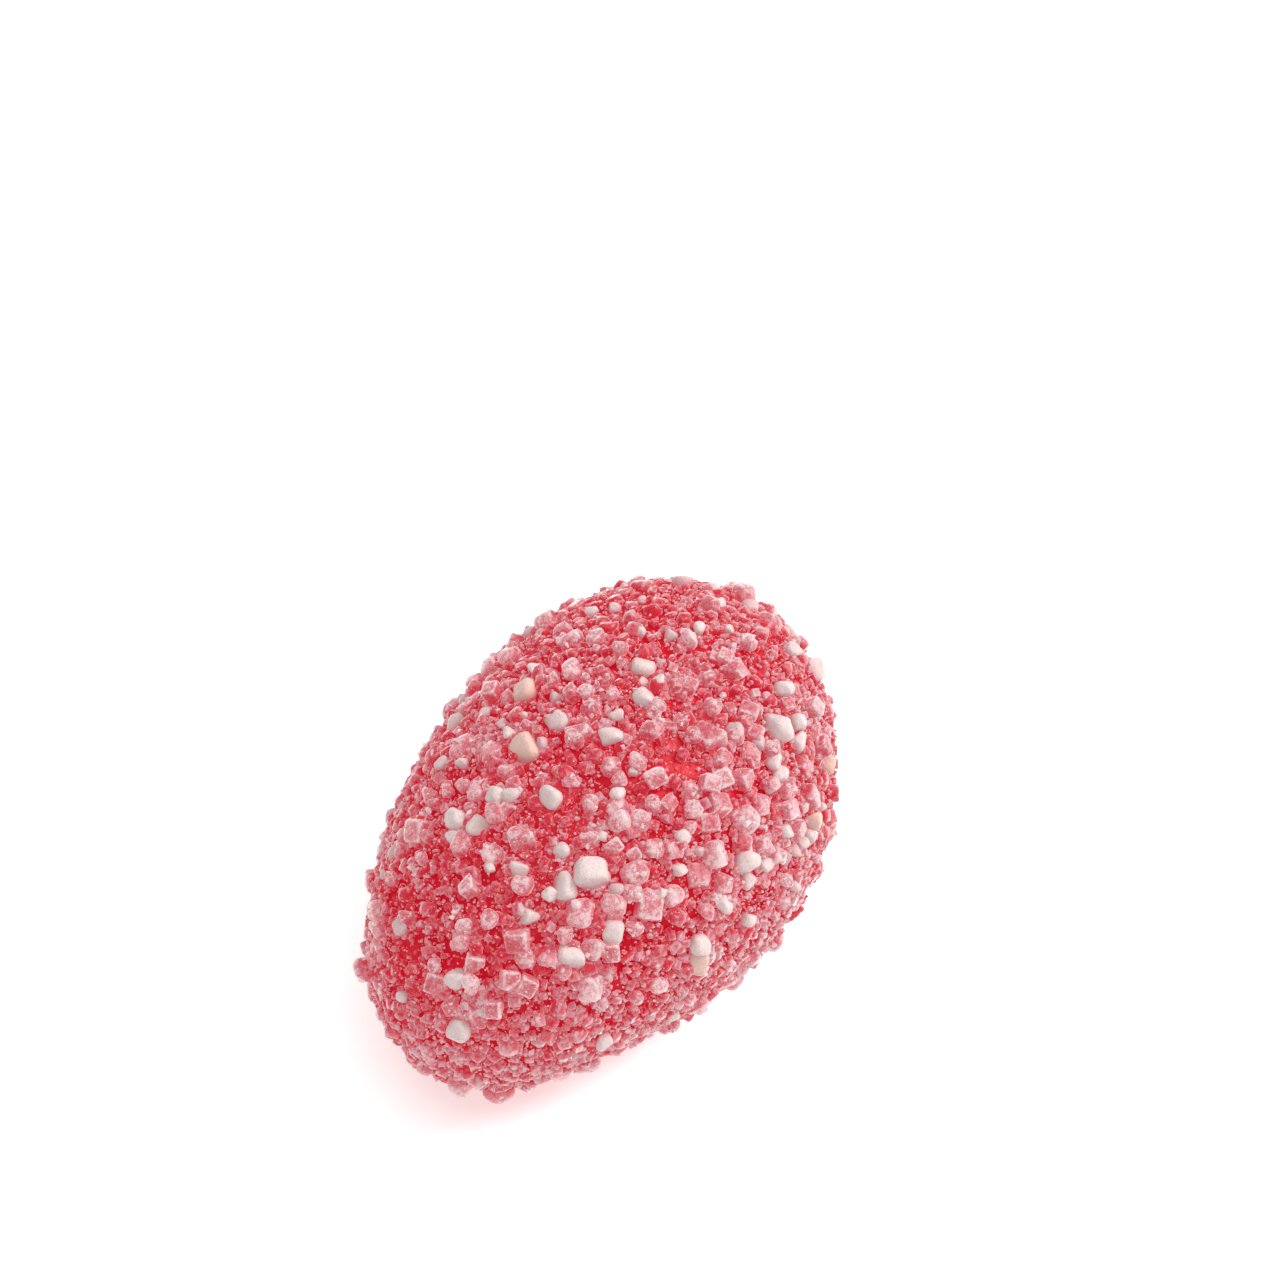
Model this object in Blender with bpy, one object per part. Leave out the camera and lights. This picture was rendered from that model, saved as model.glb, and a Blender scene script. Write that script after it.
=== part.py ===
"""A sugared jelly egg at its real size, in metres, +Z up.

One solid: a soft moulded egg that lies on a small flat, with the largest grains of its sugar fused on.
The narrow end points along +X, and the origin is on the ground under the middle of the egg.
"""

import math
import random

import bmesh
import bpy
import numpy as np
from mathutils import Euler, Matrix, Vector, noise
from mathutils.bvhtree import BVHTree

NAME = "jelly_egg"

# The egg, measured to the tops of its fine sugar
HALF_LENGTH = 0.0147
HALF_WIDTH = 0.0095
HALF_HEIGHT = 0.0086
TAPER = 0.088               # share of the width lost at the narrow end and gained at the blunt one
TAPER_HEIGHT = 0.044        # the same for the height
BEND = -0.0005              # sideways sweep of both ends, as a banana has
DROOP = -0.0004             # the narrow end hangs this much below the blunt one's level
REST_DEPTH = 0.88           # share of the half height at which the underside is flat
REST_ROUNDING = 0.12        # share of the half height over which the side rolls into the flat
FLAT_LIFT = 0.00020         # the rounding below this height is pressed dead flat
CENTRE = (-0.00041, -0.00041)  # moves the sugared egg's middle over the origin

# Hollows (+) and swellings (-) in the soft form: longitude, latitude and half width in degrees, depth in m
DENTS = (
    (-159.0, -17.0, 62.0, 0.00185),
    (98.0, 1.0, 16.0, -0.00060),
    (47.0, -20.0, 15.0, 0.00074),
)

# The crust of fine sugar, which the core carries as relief
CRUST_INSET = 0.00015       # the core's skin runs this far under the tops of the fine sugar
CRUST_RELIEF = 0.00030      # height of its lumps and pits
CRUST_GRAIN = 0.0013        # distance from lump to lump
CORE_CUTS = 13              # the core starts as a cube cut this often along each edge

# The large grains
LOOSE_GRAINS = 140          # how many the rule spreads, beside the known ones
LOOSE_FACING = 0.30         # loose grains lie only where the skin faces the viewer less than this
LUMP_SHARE = 0.55           # share of the loose ones that are lumps, the others being cubes
LUMP_WIDTH = (0.00080, 0.00130)
CUBE_WIDTH = (0.00070, 0.00100)
GRAIN_RISE = (-0.08, 0.16)  # how far a grain's middle stands over the skin, as a share of its width
GRAIN_LEAN = 0.45           # the most that a grain leans from lying flat on the skin, in radians
GRAIN_STRETCH = (0.86, 1.12)  # how uneven a grain's sides are
GRAIN_GAP = 0.00035         # least space between the rims of two grains
BARE_HEIGHT = 0.0011        # no grain's middle is lower, so the egg rests on its flat
WELD = 0.000003             # corners of the union closer than this become one
SEED = 11

# The side that shows best: where one stands to look at it, and how many pixels a unit of slope is
VIEW_AZIMUTH = math.radians(122.3)
VIEW_PITCH = math.radians(57.0)
VIEW_DISTANCE = 0.2304
VIEW_AIM = (-0.00921, -0.00384, 0.0080)
VIEW_FOCAL = 4800.0
VIEW_MIDDLE = (640.0, 640.0)

# The grains that stand out most on that side: kind, pixel across, pixel down, width in m
KNOWN_GRAINS = (
    ("lump", 525, 693, 0.00110),
    ("lump", 527, 750, 0.00130),
    ("lump", 643, 668, 0.00100),
    ("lump", 645, 701, 0.00105),
    ("lump", 610, 738, 0.00095),
    ("lump", 558, 723, 0.00095),
    ("lump", 592, 875, 0.00140),
    ("lump", 565, 886, 0.00115),
    ("lump", 518, 869, 0.00085),
    ("lump", 460, 821, 0.00095),
    ("lump", 551, 799, 0.00100),
    ("lump", 612, 932, 0.00100),
    ("lump", 571, 956, 0.00110),
    ("lump", 458, 723, 0.00100),
    ("lump", 797, 743, 0.00090),
    ("lump", 775, 728, 0.00140),
    ("lump", 811, 672, 0.00110),
    ("lump", 824, 765, 0.00105),
    ("lump", 745, 863, 0.00110),
    ("lump", 747, 880, 0.00085),
    ("lump", 478, 828, 0.00105),
    ("lump", 529, 916, 0.00090),
    ("lump", 458, 1029, 0.00105),
    ("cube", 732, 673, 0.00095),
    ("cube", 747, 714, 0.00085),
    ("cube", 712, 737, 0.00125),
    ("cube", 720, 761, 0.00085),
    ("cube", 716, 806, 0.00100),
    ("cube", 708, 823, 0.00095),
    ("cube", 699, 875, 0.00105),
    ("cube", 421, 832, 0.00120),
    ("cube", 522, 839, 0.00110),
    ("cube", 440, 985, 0.00110),
    ("cube", 475, 963, 0.00090),
    ("cube", 477, 1017, 0.00095),
    ("cube", 518, 940, 0.00100),
    ("cube", 648, 907, 0.00125),
    ("cube", 742, 780, 0.00090),
    ("cube", 750, 753, 0.00100),
    ("cube", 802, 766, 0.00090),
    ("cube", 581, 735, 0.00105),
    ("cube", 783, 810, 0.00100),
    ("cube", 807, 797, 0.00095),
    ("cube", 760, 845, 0.00090),
    ("frosted", 463, 748, 0.00110),
    ("frosted", 492, 753, 0.00100),
    ("frosted", 479, 793, 0.00100),
    ("frosted", 510, 772, 0.00090),
    ("frosted", 462, 845, 0.00095),
    ("frosted", 492, 854, 0.00090),
    ("frosted", 380, 913, 0.00100),
    ("frosted", 592, 984, 0.00110),
    ("frosted", 508, 1043, 0.00100),
    ("frosted", 548, 957, 0.00095),
    ("frosted", 527, 957, 0.00095),
    ("frosted", 592, 948, 0.00100),
    ("frosted", 578, 912, 0.00120),
    ("frosted", 612, 905, 0.00110),
    ("frosted", 571, 644, 0.00110),
    ("frosted", 572, 672, 0.00095),
    ("frosted", 593, 710, 0.00095),
    ("frosted", 713, 855, 0.00120),
    ("frosted", 743, 820, 0.00120),
    ("frosted", 757, 805, 0.00090),
    ("frosted", 612, 768, 0.00090),
    ("frosted", 617, 807, 0.00100),
    ("frosted", 635, 873, 0.00110),
    ("frosted", 673, 848, 0.00095),
    ("frosted", 653, 848, 0.00090),
    ("frosted", 590, 840, 0.00090),
    ("frosted", 722, 882, 0.00090),
    ("frosted", 640, 820, 0.00095),
    ("frosted", 690, 792, 0.00090),
)


def fresh_scene():
    """An empty scene with one collection for the egg and one for the grains that are fused to it."""
    for thing in list(bpy.data.objects):
        bpy.data.objects.remove(thing, do_unlink=True)
    egg = bpy.data.collections.new("jelly egg")
    grains = bpy.data.collections.new("large grains")
    for group in (egg, grains):
        bpy.context.scene.collection.children.link(group)
    return egg, grains


def sugared_red():
    """Red jelly seen through its coat of sugar."""
    material = bpy.data.materials.new("sugared red jelly")
    material.use_nodes = True
    shader = material.node_tree.nodes["Principled BSDF"]
    shader.inputs["Base Color"].default_value = (0.62, 0.10, 0.13, 1.0)
    shader.inputs["Roughness"].default_value = 0.55
    shader.inputs["Metallic"].default_value = 0.0
    return material


def direction(longitude, latitude):
    """Unit vector for an angle round from +X and an angle up from the ground, in degrees."""
    lon, lat = math.radians(longitude), math.radians(latitude)
    return np.array((math.cos(lat) * math.cos(lon), math.cos(lat) * math.sin(lon), math.sin(lat)))


def soft_floor(height, floor, rounding):
    """Keeps a height over a floor, rolling into it smoothly."""
    over = height - floor
    return floor + 0.5 * (over + np.sqrt(over * over + rounding * rounding))


def egg_form(unit):
    """The egg's surface for an array of unit vectors, lying on the ground."""
    along, across, up = unit[:, 0], unit[:, 1], unit[:, 2]
    points = np.stack((
        HALF_LENGTH * along,
        HALF_WIDTH * across * (1.0 - TAPER * along) + BEND * along ** 2,
        HALF_HEIGHT * up * (1.0 - TAPER_HEIGHT * along) + DROOP * along,
    ), axis=1)
    for longitude, latitude, width, depth in DENTS:
        nearness = (unit @ direction(longitude, latitude) - 1.0) / (1.0 - math.cos(math.radians(width)))
        points -= depth * np.exp(nearness)[:, None] * unit
    floor = -HALF_HEIGHT * REST_DEPTH
    points[:, 2] = soft_floor(points[:, 2], floor, HALF_HEIGHT * REST_ROUNDING)
    points[:, 2] = np.maximum(points[:, 2] - points[:, 2].min() - FLAT_LIFT, 0.0)
    return points + np.array((CENTRE[0], CENTRE[1], 0.0))


def crust_relief(point):
    """How far the crust of fine sugar stands in or out at a point."""
    coarse = noise.noise(point / CRUST_GRAIN)
    fine = noise.noise(point / (0.55 * CRUST_GRAIN) + Vector((7.0, 3.0, 5.0)))
    return CRUST_RELIEF * (coarse + 0.8 * fine)


def smooth_core():
    """The egg's smooth skin, just under the fine sugar, as a bmesh."""
    core = bmesh.new()
    bmesh.ops.create_cube(core, size=2.0)
    bmesh.ops.subdivide_edges(core, edges=core.edges, cuts=CORE_CUTS, use_grid_fill=True)
    bmesh.ops.triangulate(core, faces=core.faces)
    unit = np.array([tuple(vert.co.normalized()) for vert in core.verts])
    for vert, place in zip(core.verts, egg_form(unit)):
        vert.co = place
    core.normal_update()
    inward = [vert.normal * CRUST_INSET for vert in core.verts]
    for vert, step in zip(core.verts, inward):
        if vert.co.z > 0.0:
            vert.co -= Vector((step.x, step.y, max(step.z, 0.0)))
    core.normal_update()
    return core


def add_relief(core):
    """Puts the fine sugar's lumps and pits on the core, fading out towards the flat."""
    moves = []
    for vert in core.verts:
        fade = min(1.0, max(0.0, vert.co.z / BARE_HEIGHT - 0.2))
        moves.append(vert.normal * crust_relief(vert.co) * fade)
    for vert, move in zip(core.verts, moves):
        vert.co += move


def view_axes():
    """Right, up and back towards the viewer, from the side that shows best."""
    right = Vector((math.cos(VIEW_AZIMUTH), math.sin(VIEW_AZIMUTH), 0.0))
    back = Vector((
        math.sin(VIEW_AZIMUTH) * math.cos(VIEW_PITCH),
        -math.cos(VIEW_AZIMUTH) * math.cos(VIEW_PITCH),
        math.sin(VIEW_PITCH),
    ))
    return right, back.cross(right), back


def seen_place(skin, across, down):
    """The point and normal of the skin under a pixel, from the side that shows best."""
    right, up, back = view_axes()
    aim = Vector(VIEW_AIM) + Vector((CENTRE[0], CENTRE[1], 0.0))
    slope_right = (across - VIEW_MIDDLE[0]) / VIEW_FOCAL
    slope_up = (VIEW_MIDDLE[1] - down) / VIEW_FOCAL
    sight = right * slope_right + up * slope_up - back
    place, normal, _, _ = skin.ray_cast(aim + back * VIEW_DISTANCE, sight)
    return place, normal


def random_place(core, skin_areas, draw):
    """A point and normal on the skin, every part of it being as likely as any other."""
    face = core.faces[draw.choices(range(len(skin_areas)), cum_weights=skin_areas)[0]]
    first, second = sorted((draw.random(), draw.random()))
    corners = [vert.co for vert in face.verts]
    place = corners[0] * first + corners[1] * (second - first) + corners[2] * (1.0 - second)
    return place, face.normal.copy()


def spread_grains(core, draw):
    """Every large grain as kind, place, normal and width: those known by sight, then the rule's."""
    skin = BVHTree.FromBMesh(core)
    _, _, back = view_axes()
    core.faces.ensure_lookup_table()
    grains = []
    for kind, across, down, width in KNOWN_GRAINS:
        place, normal = seen_place(skin, across, down)
        if place is not None:
            grains.append((kind, place, normal, width))
    areas = list(np.cumsum([face.calc_area() for face in core.faces]))
    wanted = len(grains) + LOOSE_GRAINS
    while len(grains) < wanted:
        place, normal = random_place(core, areas, draw)
        kind = "lump" if draw.random() < LUMP_SHARE else "cube"
        width = draw.uniform(*(LUMP_WIDTH if kind == "lump" else CUBE_WIDTH))
        clear = all((place - other).length > 0.5 * (width + size) + GRAIN_GAP for _, other, _, size in grains)
        if clear and place.z > BARE_HEIGHT and normal.dot(back) < LOOSE_FACING:
            grains.append((kind, place, normal, width))
    return grains


def grain_stance(number, grain):
    """How one grain's sides differ, and the matrix that stands it in the skin."""
    _, place, normal, width = grain
    draw = random.Random(SEED + number)
    stretch = Vector([draw.uniform(*GRAIN_STRETCH) for _ in range(3)])
    lean = Euler((
        draw.uniform(-GRAIN_LEAN, GRAIN_LEAN),
        draw.uniform(-GRAIN_LEAN, GRAIN_LEAN),
        draw.uniform(-math.pi, math.pi),
    ))
    middle = place + normal * draw.uniform(*GRAIN_RISE) * width
    upright = normal.to_track_quat("Z", "Y")
    return stretch, Matrix.Translation(middle) @ upright.to_matrix().to_4x4() @ lean.to_matrix().to_4x4()


def lump_mesh(width, draw):
    """A rounded or frosted lump of sugar: an uneven icosahedron."""
    mesh = bmesh.new()
    bmesh.ops.create_icosphere(mesh, subdivisions=1, radius=0.5 * width)
    for vert in mesh.verts:
        vert.co *= draw.uniform(0.94, 1.08)
    return mesh


def cube_mesh(width):
    """A crystal of coarse sugar."""
    mesh = bmesh.new()
    bmesh.ops.create_cube(mesh, size=width)
    return mesh


def add_grain(number, grain, collection, draw):
    """Puts one large grain into the skin as an object of its own, ready to be fused."""
    kind, _, _, width = grain
    mesh = cube_mesh(width) if kind == "cube" else lump_mesh(width, draw)
    stretch, stance = grain_stance(number, grain)
    bmesh.ops.scale(mesh, vec=stretch, verts=mesh.verts)
    bmesh.ops.transform(mesh, matrix=stance, verts=mesh.verts)
    bmesh.ops.triangulate(mesh, faces=mesh.faces)
    data = bpy.data.meshes.new(f"{kind} {number}")
    mesh.to_mesh(data)
    mesh.free()
    grain_object = bpy.data.objects.new(f"{kind} {number}", data)
    collection.objects.link(grain_object)


def fuse(egg, grains):
    """Joins the grains to the egg in one union, then takes their own objects away."""
    union = egg.modifiers.new("fused grains", "BOOLEAN")
    union.operation = "UNION"
    union.solver = "EXACT"
    union.operand_type = "COLLECTION"
    union.collection = grains
    fused = bpy.data.meshes.new_from_object(egg.evaluated_get(bpy.context.evaluated_depsgraph_get()))
    egg.modifiers.remove(union)
    plain = egg.data
    egg.data = fused
    bpy.data.meshes.remove(plain)
    for grain_object in list(grains.objects):
        bpy.data.objects.remove(grain_object, do_unlink=True)
    bpy.data.collections.remove(grains)


def tidy_mesh(egg):
    """Triangles only, few on the flat, without the slivers that a union can leave."""
    mesh = bmesh.new()
    mesh.from_mesh(egg.data)
    bmesh.ops.remove_doubles(mesh, verts=mesh.verts, dist=WELD)
    flat = [face for face in mesh.faces if all(vert.co.z == 0.0 for vert in face.verts)]
    bmesh.ops.dissolve_faces(mesh, faces=flat, use_verts=True)
    bmesh.ops.triangulate(mesh, faces=mesh.faces)
    bmesh.ops.recalc_face_normals(mesh, faces=mesh.faces)
    mesh.to_mesh(egg.data)
    mesh.free()


def main():
    draw = random.Random(SEED)
    egg_collection, grain_collection = fresh_scene()
    core = smooth_core()
    grains = spread_grains(core, draw)
    add_relief(core)
    data = bpy.data.meshes.new(NAME)
    core.to_mesh(data)
    core.free()
    egg = bpy.data.objects.new(NAME, data)
    egg_collection.objects.link(egg)
    for number, grain in enumerate(grains):
        add_grain(number, grain, grain_collection, draw)
    bpy.context.view_layer.update()
    fuse(egg, grain_collection)
    tidy_mesh(egg)
    egg.data.name = NAME
    egg.data.materials.clear()
    egg.data.materials.append(sugared_red())


main()
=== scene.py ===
"""The looks of a sugared jelly egg: a glossy red jelly body under a coat of loose sugar.

The sugar is real mesh at true size: fine and coarse crystals, clear cubes, frosted lumps, opaque crumbs
and dust. The form of the egg and the rule that stands its largest grains are the solid's own, so each
grain is where the solid has it.
"""

import math
import random

import bmesh
import bpy
import numpy as np
from mathutils import Euler, Matrix, Vector, noise
from mathutils.bvhtree import BVHTree


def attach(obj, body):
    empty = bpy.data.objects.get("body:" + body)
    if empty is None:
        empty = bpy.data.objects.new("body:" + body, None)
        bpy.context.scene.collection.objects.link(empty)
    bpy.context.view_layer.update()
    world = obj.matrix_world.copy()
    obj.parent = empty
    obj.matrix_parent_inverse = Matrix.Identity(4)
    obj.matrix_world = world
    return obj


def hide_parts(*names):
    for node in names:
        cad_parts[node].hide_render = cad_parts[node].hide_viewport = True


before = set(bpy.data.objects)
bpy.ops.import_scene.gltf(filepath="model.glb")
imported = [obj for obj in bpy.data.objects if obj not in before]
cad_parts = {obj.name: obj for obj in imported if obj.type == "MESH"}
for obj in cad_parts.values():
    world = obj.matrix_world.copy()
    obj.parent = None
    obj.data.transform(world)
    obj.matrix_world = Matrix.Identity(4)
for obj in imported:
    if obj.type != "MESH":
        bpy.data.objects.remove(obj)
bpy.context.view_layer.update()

# The egg's form, as the solid has it, in metres: its source says what each value does
HALF_LENGTH = 0.0147
HALF_WIDTH = 0.0095
HALF_HEIGHT = 0.0086
TAPER = 0.088
TAPER_HEIGHT = 0.044
BEND = -0.0005
DROOP = -0.0004
REST_DEPTH = 0.88
REST_ROUNDING = 0.12
FLAT_LIFT = 0.00020
CENTRE = (-0.00041, -0.00041)
DENTS = (
    (-159.0, -17.0, 62.0, 0.00185),
    (98.0, 1.0, 16.0, -0.00060),
    (47.0, -20.0, 15.0, 0.00074),
)
CRUST_INSET = 0.00015

# The rule of the largest grains, as the solid has it too
CORE_CUTS = 13
LOOSE_GRAINS = 140
LOOSE_FACING = 0.30
LUMP_SHARE = 0.55
LUMP_WIDTH = (0.00080, 0.00130)
CUBE_WIDTH = (0.00070, 0.00100)
GRAIN_RISE = (-0.08, 0.16)
GRAIN_LEAN = 0.45
GRAIN_STRETCH = (0.86, 1.12)
GRAIN_GAP = 0.00035
BARE_HEIGHT = 0.0011
SEED = 11

# The large grains that the picture shows: pixels across and down, width in millimetres
KNOWN_GRAINS = {
    "lump": (
        (525, 693, 1.1), (527, 750, 1.3), (643, 668, 1.0), (645, 701, 1.05), (610, 738, 0.95),
        (558, 723, 0.95), (592, 875, 1.4), (565, 886, 1.15), (518, 869, 0.85), (460, 821, 0.95),
        (551, 799, 1.0), (612, 932, 1.0), (571, 956, 1.1), (458, 723, 1.0), (797, 743, 0.9),
        (775, 728, 1.4), (811, 672, 1.1), (824, 765, 1.05), (745, 863, 1.1), (747, 880, 0.85),
        (478, 828, 1.05), (529, 916, 0.9), (458, 1029, 1.05),
    ),
    "cube": (
        (732, 673, 0.95), (747, 714, 0.85), (712, 737, 1.25), (720, 761, 0.85), (716, 806, 1.0),
        (708, 823, 0.95), (699, 875, 1.05), (421, 832, 1.2), (522, 839, 1.1), (440, 985, 1.1),
        (475, 963, 0.9), (477, 1017, 0.95), (518, 940, 1.0), (648, 907, 1.25), (742, 780, 0.9),
        (750, 753, 1.0), (802, 766, 0.9), (581, 735, 1.05), (783, 810, 1.0), (807, 797, 0.95),
        (760, 845, 0.9),
    ),
    "frosted": (
        (463, 748, 1.1), (492, 753, 1.0), (479, 793, 1.0), (510, 772, 0.9), (462, 845, 0.95),
        (492, 854, 0.9), (380, 913, 1.0), (592, 984, 1.1), (508, 1043, 1.0), (548, 957, 0.95),
        (527, 957, 0.95), (592, 948, 1.0), (578, 912, 1.2), (612, 905, 1.1), (571, 644, 1.1),
        (572, 672, 0.95), (593, 710, 0.95), (713, 855, 1.2), (743, 820, 1.2), (757, 805, 0.9),
        (612, 768, 0.9), (617, 807, 1.0), (635, 873, 1.1), (673, 848, 0.95), (653, 848, 0.9),
        (590, 840, 0.9), (722, 882, 0.9), (640, 820, 0.95), (690, 792, 0.9),
    ),
}

# The camera, at the picture's viewing angle
VIEW_AZIMUTH = math.radians(122.3)
VIEW_PITCH = math.radians(57.0)
VIEW_DISTANCE = 0.2304
VIEW_AIM = (-0.00921, -0.00384, 0.0080)
VIEW_LENS = 135.0
VIEW_SENSOR = 36.0
VIEW_SIZE = 1280.0

# The jelly under the sugar
BODY_CUTS = 69
BODY_INSET = 0.00026
BODY_LUMPS = ((0.0011, 0.00009), (0.00042, 0.00007))  # width and height of its coarse and fine lumps
BASE_GAP = 0.00010  # its underside stays this far over the ground
SKIN_CUTS = 40  # the smooth skin that sugar lies on is a cube cut this often

# Crystals sprinkled over the whole egg: how many, their width in metres, how far their middles stand over
# the skin as a share of their width, how far they lean in radians, how close they come as a share of their
# width, and how much the bare patches thin them out
SPRINKLED = {
    "fine_sugar": (4100, (0.00026, 0.00046), (0.05, 0.40), 0.5, 0.62, 1.0),
    "sharp_sugar": (2500, (0.00028, 0.00050), (0.05, 0.45), 0.6, 0.62, 1.0),
    "chip_sugar": (8200, (0.00014, 0.00032), (0.05, 0.90), 0.9, 0.6, 0.85),
    "medium_sugar": (430, (0.00048, 0.00074), (0.10, 0.35), 0.4, 1.0, 1.0),
    "sugar_grit": (17000, (0.00009, 0.00020), (0.1, 1.2), 1.2, 0.6, 0.55),
}
SPARE_PLACES = 2.6  # places drawn for each crystal, as many are turned down
CRYSTAL_STRETCH = (0.78, 1.18)

# Clusters, dust and the loose crumbs
CLUSTER_COUNT = 100
CLUSTER_CRYSTALS = 12
CLUSTER_GAP = 0.0016
CLUSTER_SPREAD = 0.00020
CLUSTER_LIFT = 0.00034
CLUSTER_WIDTH = (0.00020, 0.00038)
DUST_COUNT = 8000
DUST_WIDTH = (0.00005, 0.00013)
DUST_FACING = 0.25  # dust lies on faces that look outward more than this
WHITE_SHARE = 0.25  # share of the loose lumps that are white crumbs
WHITE_HEIGHT = 0.0060  # loose white ones lie only above this height
LOOSE_CRUMBS = 60
LOOSE_CRUMB_WIDTH = (0.00045, 0.00070)
LOOSE_CRUMB_GAP = 0.0011
STUCK_CHIPS = 9  # small crystals grown onto each frosted lump
GRAIN_CLEARING = 0.40  # fine sugar keeps off this share of a grain's width round its foot
SMALL_RISE = 0.34  # how far a smaller grain's middle stands over the skin, over its width
SPIN = 6.3  # the most that anything is spun: a full turn, in radians

# Shapes that the crystals are copied from. Of the cubes: how many shapes, cuts along an edge, roundness,
# how many corners may be chipped, and wear
CUBE_SHAPES = {
    "fine_sugar": (24, 1, (3.5, 7.0), (0, 1, 2), 0.16),
    "sharp_sugar": (24, 1, (7.0, 20.0), (1, 2, 3), 0.14),
    "medium_sugar": (16, 2, (4.0, 8.0), (1, 2, 3), 0.12),
    "sugar_cubes": (12, 5, (5.0, 9.0), (0, 1, 2), 0.07),
}
CUBE_WAVES = ((1.3, 1.0), (3.2, 0.5))  # how often a wave comes in a unit, and how high it is
CHIP_SHAPES = 16
CHIP_CORNERS = 12
SPECK_SHAPES = 12
CRUMB_SHAPES = 14
CRUMB_ROUNDS = 3  # how often a crumb's ball is subdivided
CRUMB_KNOBS = ((1.4, 0.10), (3.6, 0.06), (9.0, 0.025))

# How thick the coat is: clouds of it by width and weight, pale and bare patches, and more near the ground.
# Thick sugar is also whiter, so the whiter sugar near the ground is painted light from the bright floor
THICK_CLOUDS = ((0.0020, 1.0), (0.0009, 0.6))
PALE_WEIGHT = 1.2
BARE_WEIGHT = 0.9
FOOT_SUGAR_AND_FLOOR_LIGHT_WEIGHT = 1.1
FOOT_SUGAR_AND_FLOOR_LIGHT_HEIGHT = 0.0085
THICK_CHANCE = 0.9  # what thickness adds to a crystal's chance to stick
LEAST_CHANCE = 0.14
TINT_MIDDLE = 0.48
TINT_SLOPE = 0.45  # what thickness adds to how white a crystal is
TINT_SPREAD = 0.42
TINT_MOST = 1.3
PEACH_TINT = 1.0  # crumbs of this tint are peach
KNOWN_TINT = (0.72, 0.92)
LOOSE_TINT = (0.3, 0.92)
SMALL_TINT = (0.6, 0.92)

# Colours of the sugar, from low and clear to high and frosted
DEEP_SUGAR = (0.37, 0.007, 0.022, 1.0)
MIDDLE_SUGAR = (0.37, 0.130, 0.155, 1.0)
PALE_SUGAR = (0.44, 0.385, 0.405, 1.0)
WHITE_SUGAR = (0.55, 0.535, 0.540, 1.0)
DUST_WHITE = (0.60, 0.640, 0.640, 1.0)

# How each piece of sugar looks: frost, height in metres at which it is frosted most, share of the jelly's
# red glow, colour when frosted, and whether it is shaded smooth
SUGAR_LOOKS = {
    "fine_sugar": (0.00, 0.0005, 1.0, PALE_SUGAR, True),
    "sharp_sugar": (0.00, 0.0005, 1.0, PALE_SUGAR, False),
    "chip_sugar": (0.12, 0.0004, 1.0, PALE_SUGAR, False),
    "medium_sugar": (0.04, 0.0008, 1.0, PALE_SUGAR, True),
    "sugar_cubes": (0.20, 0.0009, 1.0, WHITE_SUGAR, True),
    "sugar_grit": (0.32, 0.0003, 1.0, PALE_SUGAR, False),
    "frosted_lumps": (0.12, 0.0009, 1.0, WHITE_SUGAR, True),
    "crystal_clusters": (0.20, 0.0006, 0.9, WHITE_SUGAR, False),
    "sugar_dust": (0.65, 0.0004, 0.7, DUST_WHITE, False),
}
SUGAR_LIGHT = 0.64  # share of its colour that glows, for light that wanders inside

# Colours of the crumbs: their own, then blushes, pits, flecks, and painted red bounce light from the jelly
# at their feet
CRUMB_PINK = (0.61, 0.400, 0.405, 1.0)
CRUMB_WHITE = (0.68, 0.565, 0.550, 1.0)
CRUMB_PEACH = (0.70, 0.470, 0.390, 1.0)
CRUMB_BLUSH = (0.64, 0.400, 0.400, 1.0)
CRUMB_PIT = (0.57, 0.300, 0.315, 1.0)
CRUMB_FLECK = (0.80, 0.700, 0.660, 1.0)
CRUMB_RED_BOUNCE = (0.52, 0.100, 0.130, 1.0)
CRUMB_LIGHT = 0.45

# Colours of the jelly, and the red light that comes back out of it through the sugar
JELLY_DEEP = (0.31, 0.003, 0.010, 1.0)
JELLY_BRIGHT = (0.42, 0.006, 0.017, 1.0)
JELLY_DUSTY = (0.40, 0.090, 0.110, 1.0)
JELLY_LIGHT = 0.45
INNER_GLOW = (0.21, 0.0, 0.005, 1.0)
BLACK = (0.0, 0.0, 0.0, 1.0)

# The room: its light, the ground, and soft boxes as place, size, watts and colour
ROOM_COLOUR = (1.0, 0.98, 0.97, 1.0)
ROOM_LIGHT = 0.54
GROUND_SIZE = 1.5
GROUND = {
    "Roughness": 0.6,
    "Base Color": (0.93, 0.92, 0.91, 1.0),
    "Specular IOR Level": 0.2,
    "Emission Color": (1.0, 1.0, 1.0, 1.0),
    "Emission Strength": 0.40,
}
SOFT_BOXES = {
    "key soft box": ((-0.22, 0.16, 0.24), 0.22, 1.9, (1.0, 0.98, 0.96)),
    "top soft box": ((0.04, 0.02, 0.34), 0.20, 0.35, (0.98, 0.99, 1.0)),
}
SOFT_BOX_AIM = (0.0, 0.0, 0.008)

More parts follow.
